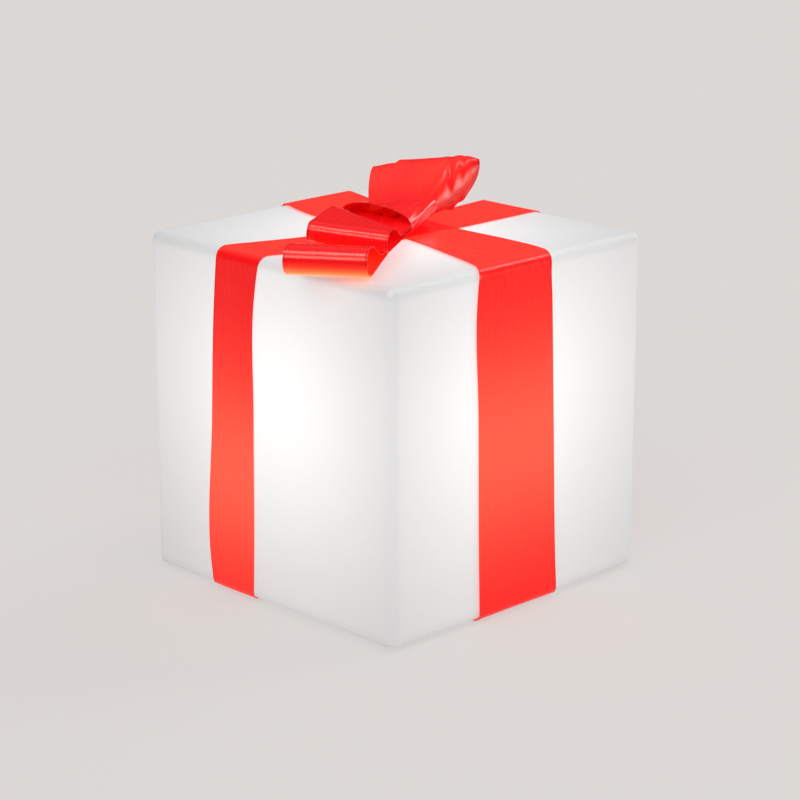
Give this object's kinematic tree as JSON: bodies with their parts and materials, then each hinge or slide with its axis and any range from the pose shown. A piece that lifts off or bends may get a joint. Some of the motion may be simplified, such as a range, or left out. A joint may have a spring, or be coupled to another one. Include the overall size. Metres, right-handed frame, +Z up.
{
  "type": "cube light",
  "caption": "Glowing white rounded cube light dressed as a gift box with red satin ribbons and a bow, lit by a twist-in battery light module in its base.",
  "frame": {"origin": "on the floor under the middle of the cube, on the base pad's underside", "axes": "+Z up, -Y and +X the two faces that the picture shows, left and right"},
  "size_m": [0.3336, 0.3722, 0.3933],
  "materials": {
    "opal_polyethylene": "satin, translucent white",
    "red_satin": "satin ribbon",
    "black_rubber": "matt",
    "zinc_steel": "zinc plated",
    "clear_nylon": "natural nylon",
    "grey_abs": "fine texture",
    "green_fibreglass": "solder mask",
    "black_moulding": "moulded",
    "cell_sleeve": "shrink sleeve over a cell can",
    "natural_aluminium": "extruded",
    "white_board": "white solder mask",
    "phosphor_resin": "resin",
    "opal_acrylic": "opal",
    "red_pvc": "insulation",
    "white_pvc": "insulation"
  },
  "bodies": {
    "shell": {"cube_shell": "opal_polyethylene", "rubber_feet": "black_rubber", "foot_screws": "zinc_steel", "ribbon_front_back": "red_satin", "ribbon_left_right": "red_satin", "ribbon_studs": "clear_nylon", "bow_knot": "red_satin", "bow_waist": "red_satin", "bow_loop_lower": "red_satin", "bow_loop_upper": "red_satin", "bow_loop_back": "red_satin"},
    "module": {"module_cup": "grey_abs", "module_gasket": "black_rubber", "module_cover": "grey_abs", "cover_screws": "zinc_steel", "base_pad": "black_rubber", "control_board": "green_fibreglass", "board_screws": "zinc_steel", "board_components": "black_moulding", "tact_switch": "black_moulding", "dc_jack": "black_moulding", "flap_pin": "zinc_steel", "battery_holder": "black_moulding", "holder_screws": "zinc_steel", "battery_cells": "cell_sleeve", "led_core": "natural_aluminium", "core_screws": "zinc_steel", "led_strips": "white_board", "led_chips": "phosphor_resin", "diffuser": "opal_acrylic", "diffuser_screws": "zinc_steel", "led_leads": "white_pvc", "battery_leads": "red_pvc"},
    "button": {"power_button": "black_rubber"},
    "flap": {"charge_flap": "black_rubber"}
  },
  "joints": [
    {"name": "module_twist", "type": "hinge", "parent": "shell", "child": "module", "pos_m": [0, 0, 0.0137], "axis": [0, 0, 1], "range_deg": [0, 40]},
    {"name": "button_press", "type": "slide", "parent": "module", "child": "button", "axis": [0, 0, 1], "range_m": [0, 0.0008], "stiffness_N_per_m": 2000, "springref_m": -0.0004},
    {"name": "flap_hinge", "type": "hinge", "parent": "module", "child": "flap", "pos_m": [0, -0.064, 0.0061], "axis": [-1, 0, 0], "range_deg": [0, 100]}
  ]
}
